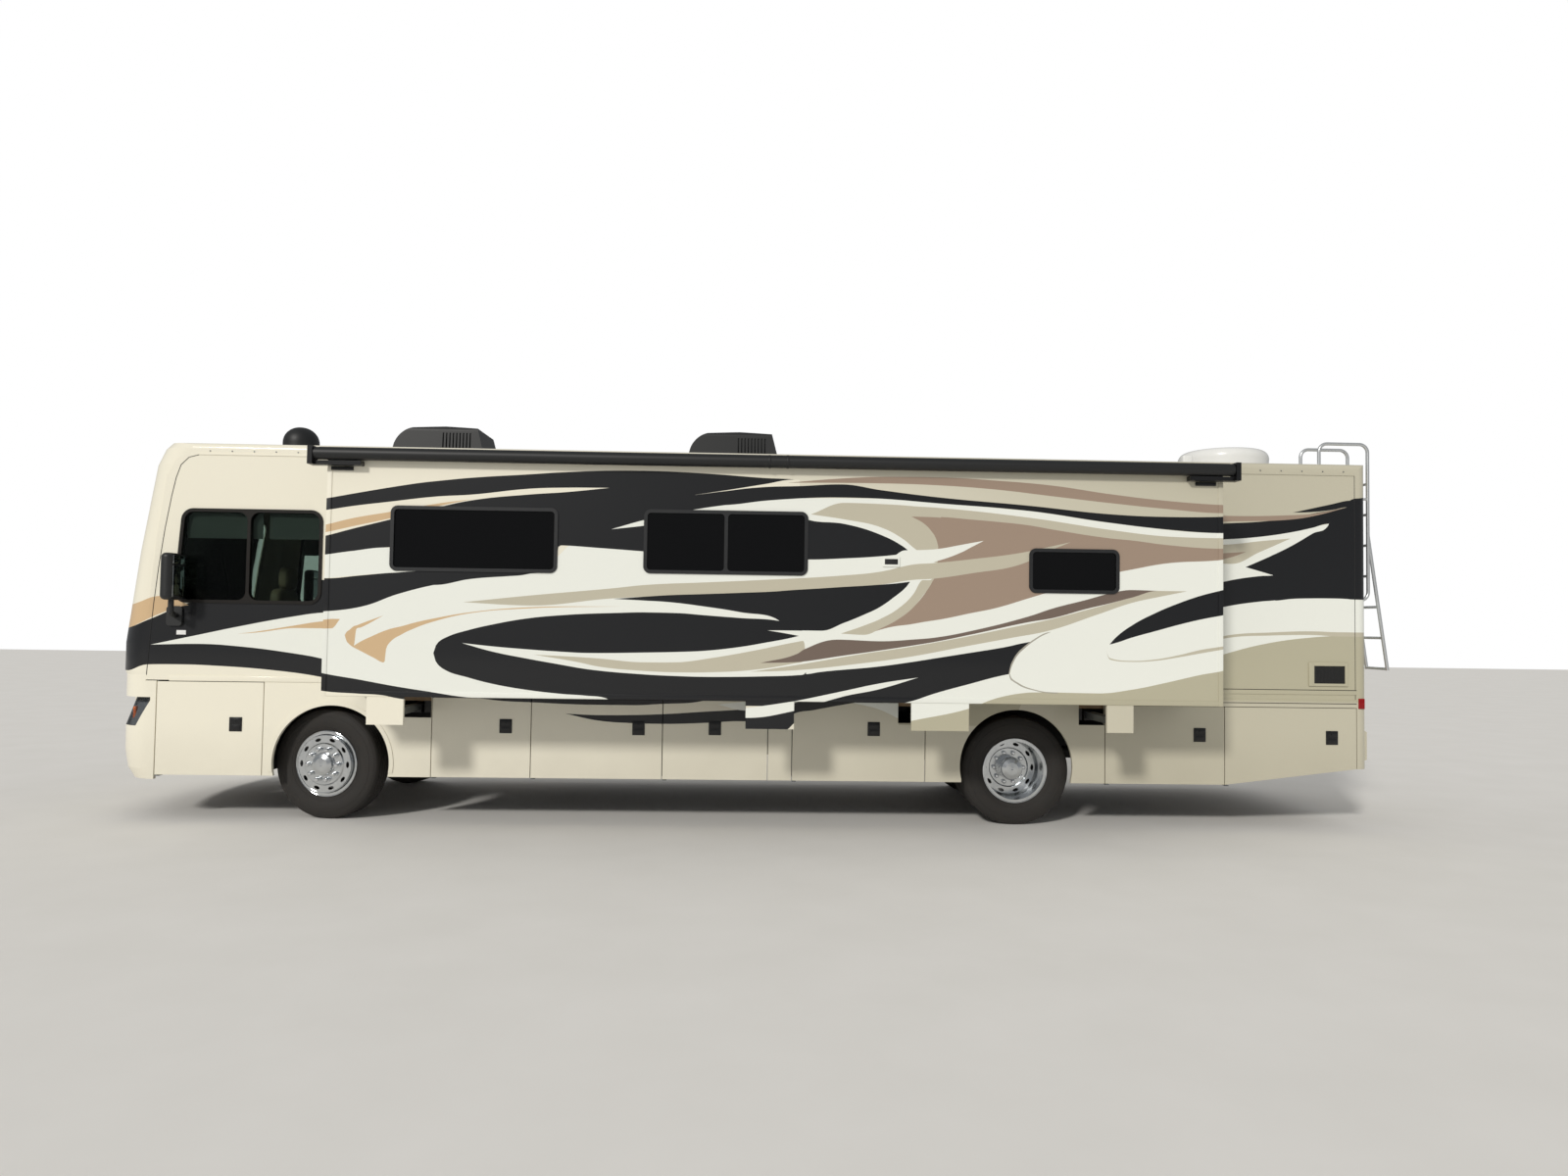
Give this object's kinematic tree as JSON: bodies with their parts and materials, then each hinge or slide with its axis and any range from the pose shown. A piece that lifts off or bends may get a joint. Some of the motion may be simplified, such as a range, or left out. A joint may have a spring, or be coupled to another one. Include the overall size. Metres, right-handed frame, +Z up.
{
  "type": "full-wall slide-out motorhome",
  "caption": "Rear-engined motorhome with a full-length slide-out room, swinging bay doors, steered front wheels and twin rear wheels.",
  "frame": {"origin": "on the ground under the middle of the bounding box", "axes": "+X runs from the nose to the tail, +Y to the kerb side, +Z up"},
  "size_m": [12.1568, 3.784, 3.836],
  "materials": {
    "air_bag_rubber": "black rubber",
    "awning_white": "white awning hardware",
    "bare_steel": "zinc plated",
    "bay_lining": "textured black liner",
    "body_gelcoat": "glossy cream gelcoat with painted stripes",
    "cabinet_wood": "varnished cherry",
    "cast_iron": "painted castings",
    "chassis_black": "semi-gloss black chassis paint",
    "clear_lens": "clear and red lamp lenses",
    "dash_plastic": "soft-touch dashboard",
    "floor_sandwich": "laminated floor",
    "mirror_black": "gloss black housing",
    "polished_alloy": "polished",
    "roof_plastic": "moulded shrouds and domes",
    "roof_white": "white rubber roof",
    "seat_leather": "tan leather",
    "tinted_glass": "dark tinted safety glass",
    "topper_cloth": "vinyl-coated awning cloth",
    "tyre_rubber": "black rubber",
    "window_bronze": "dark bronze anodised"
  },
  "bodies": {
    "coach": {"chassis_frame": "chassis_black", "floor_deck": "floor_sandwich", "front_cap": "body_gelcoat", "rear_cap": "body_gelcoat", "left_wall": "body_gelcoat", "right_wall": "body_gelcoat", "roof_panel": "roof_white", "side_skirts": "body_gelcoat", "grille": "mirror_black", "lamps": "clear_lens", "luggage_bays": "bay_lining", "door_hinges": "bare_steel", "front_axle": "cast_iron", "rear_axle": "cast_iron", "air_springs": "air_bag_rubber", "engine_block": "cast_iron", "fuel_tank": "chassis_black", "roof_air_conditioners": "roof_plastic", "roof_domes": "roof_plastic", "ladder": "polished_alloy", "mirrors": "mirror_black", "patio_awning": "awning_white", "dashboard": "dash_plastic", "cab_seats": "seat_leather", "fixed_furniture": "cabinet_wood", "topper_fabric": "topper_cloth", "window_frames": "window_bronze", "window_glass": "tinted_glass"},
    "slide_room": {"slide_wall": "body_gelcoat", "slide_box": "awning_white", "slide_window_frames": "window_bronze", "slide_window_glass": "tinted_glass", "slide_arms": "chassis_black", "arm_covers": "body_gelcoat", "slide_furniture": "cabinet_wood"},
    "topper_roller": {"topper_roller": "mirror_black"},
    "left_steering": {"left_knuckle": "cast_iron"},
    "right_steering": {"right_knuckle": "cast_iron"},
    "front_left_wheel": {"front_left_tyre": "tyre_rubber", "front_left_rim": "polished_alloy"},
    "front_right_wheel": {"front_right_tyre": "tyre_rubber", "front_right_rim": "polished_alloy"},
    "rear_left_wheels": {"rear_left_tyres": "tyre_rubber", "rear_left_rims": "polished_alloy"},
    "rear_right_wheels": {"rear_right_tyres": "tyre_rubber", "rear_right_rims": "polished_alloy"},
    "entry_door": {"entry_door": "body_gelcoat"},
    "engine_door": {"engine_door": "body_gelcoat"},
    "left_front_bay_door": {"left_front_bay_door": "body_gelcoat"},
    "left_bay_door_a": {"left_bay_door_a": "body_gelcoat"},
    "left_bay_door_b": {"left_bay_door_b": "body_gelcoat"},
    "left_bay_door_c": {"left_bay_door_c": "body_gelcoat"},
    "left_bay_door_d": {"left_bay_door_d": "body_gelcoat"},
    "left_bay_door_e": {"left_bay_door_e": "body_gelcoat"},
    "left_engine_side_door": {"left_engine_side_door": "body_gelcoat"},
    "right_front_bay_door": {"right_front_bay_door": "body_gelcoat"},
    "right_bay_door_a": {"right_bay_door_a": "body_gelcoat"},
    "right_bay_door_b": {"right_bay_door_b": "body_gelcoat"},
    "right_bay_door_c": {"right_bay_door_c": "body_gelcoat"}
  },
  "joints": [
    {"name": "slide_room_travel", "type": "slide", "parent": "coach", "child": "slide_room", "axis": [0, 1, 0], "range_m": [0, 0.712], "deforming": ["topper_fabric"]},
    {"name": "topper_roller_turn", "type": "hinge", "parent": "slide_room", "child": "topper_roller", "pos_m": [0.15558, -1.832, 3.24], "axis": [1, 0, 0], "range_deg": [0, 756]},
    {"name": "left_steering_turn", "type": "hinge", "parent": "coach", "child": "left_steering", "pos_m": [-3.94242, -0.723, 0.5055], "axis": [0, 0, 1], "range_deg": [-30, 50]},
    {"name": "right_steering_turn", "type": "hinge", "parent": "coach", "child": "right_steering", "pos_m": [-3.94242, 1.297, 0.5055], "axis": [0, 0, 1], "range_deg": [-30, 50]},
    {"name": "front_left_wheel_spin", "type": "hinge", "parent": "left_steering", "child": "front_left_wheel", "pos_m": [-3.94242, -0.723, 0.5055], "axis": [0.1736, 0.9848, 0], "continuous": true},
    {"name": "rear_left_wheels_spin", "type": "hinge", "parent": "coach", "child": "rear_left_wheels", "pos_m": [2.42758, -0.795, 0.5055], "axis": [0, 1, 0], "continuous": true},
    {"name": "front_right_wheel_spin", "type": "hinge", "parent": "right_steering", "child": "front_right_wheel", "pos_m": [-3.94242, 1.297, 0.5055], "axis": [0.1736, 0.9848, 0], "continuous": true},
    {"name": "rear_right_wheels_spin", "type": "hinge", "parent": "coach", "child": "rear_right_wheels", "pos_m": [2.42758, 1.369, 0.5055], "axis": [0, 1, 0], "continuous": true},
    {"name": "left_front_bay_door_swing", "type": "hinge", "parent": "coach", "child": "left_front_bay_door", "pos_m": [-5.47142, -1.002, 0.8285], "axis": [0, 0, -1], "range_deg": [0, 90]},
    {"name": "left_bay_door_a_swing", "type": "hinge", "parent": "coach", "child": "left_bay_door_a", "pos_m": [-2.97942, -1.002, 0.7695], "axis": [0, 0, -1], "range_deg": [0, 90]},
    {"name": "left_bay_door_b_swing", "type": "hinge", "parent": "coach", "child": "left_bay_door_b", "pos_m": [-2.07342, -1.002, 0.7695], "axis": [0, 0, -1], "range_deg": [0, 90]},
    {"name": "left_bay_door_c_swing", "type": "hinge", "parent": "coach", "child": "left_bay_door_c", "pos_m": [-0.86642, -1.002, 0.7695], "axis": [0, 0, -1], "range_deg": [0, 90]},
    {"name": "left_bay_door_d_swing", "type": "hinge", "parent": "coach", "child": "left_bay_door_d", "pos_m": [0.33158, -1.002, 0.7695], "axis": [0, 0, -1], "range_deg": [0, 90]},
    {"name": "left_bay_door_e_swing", "type": "hinge", "parent": "coach", "child": "left_bay_door_e", "pos_m": [3.26058, -1.002, 0.7695], "axis": [0, 0, -1], "range_deg": [0, 90]},
    {"name": "left_engine_side_door_swing", "type": "hinge", "parent": "coach", "child": "left_engine_side_door", "pos_m": [4.39358, -1.002, 0.7695], "axis": [0, 0, -1], "range_deg": [0, 90]},
    {"name": "right_front_bay_door_swing", "type": "hinge", "parent": "coach", "child": "right_front_bay_door", "pos_m": [-5.47142, 1.576, 0.8285], "axis": [0, 0, 1], "range_deg": [0, 90]},
    {"name": "right_bay_door_a_swing", "type": "hinge", "parent": "coach", "child": "right_bay_door_a", "pos_m": [-2.07342, 1.576, 0.7695], "axis": [0, 0, 1], "range_deg": [0, 90]},
    {"name": "right_bay_door_b_swing", "type": "hinge", "parent": "coach", "child": "right_bay_door_b", "pos_m": [-0.86642, 1.576, 0.7695], "axis": [0, 0, 1], "range_deg": [0, 90]},
    {"name": "right_bay_door_c_swing", "type": "hinge", "parent": "coach", "child": "right_bay_door_c", "pos_m": [3.26058, 1.576, 0.7695], "axis": [0, 0, 1], "range_deg": [0, 90]},
    {"name": "entry_door_swing", "type": "hinge", "parent": "coach", "child": "entry_door", "pos_m": [-2.95642, 1.576, 1.745], "axis": [0, 0, 1], "range_deg": [0, 90]},
    {"name": "engine_door_lift", "type": "hinge", "parent": "coach", "child": "engine_door", "pos_m": [5.74958, 0.287, 1.544], "axis": [0, -1, 0], "range_deg": [0, 75]}
  ],
  "couplings": [
    {"joint": "right_steering_turn", "follows": "left_steering_turn", "ratio": 1},
    {"joint": "topper_roller_turn", "follows": "slide_room_travel", "rad_per_m": 18.518}
  ]
}
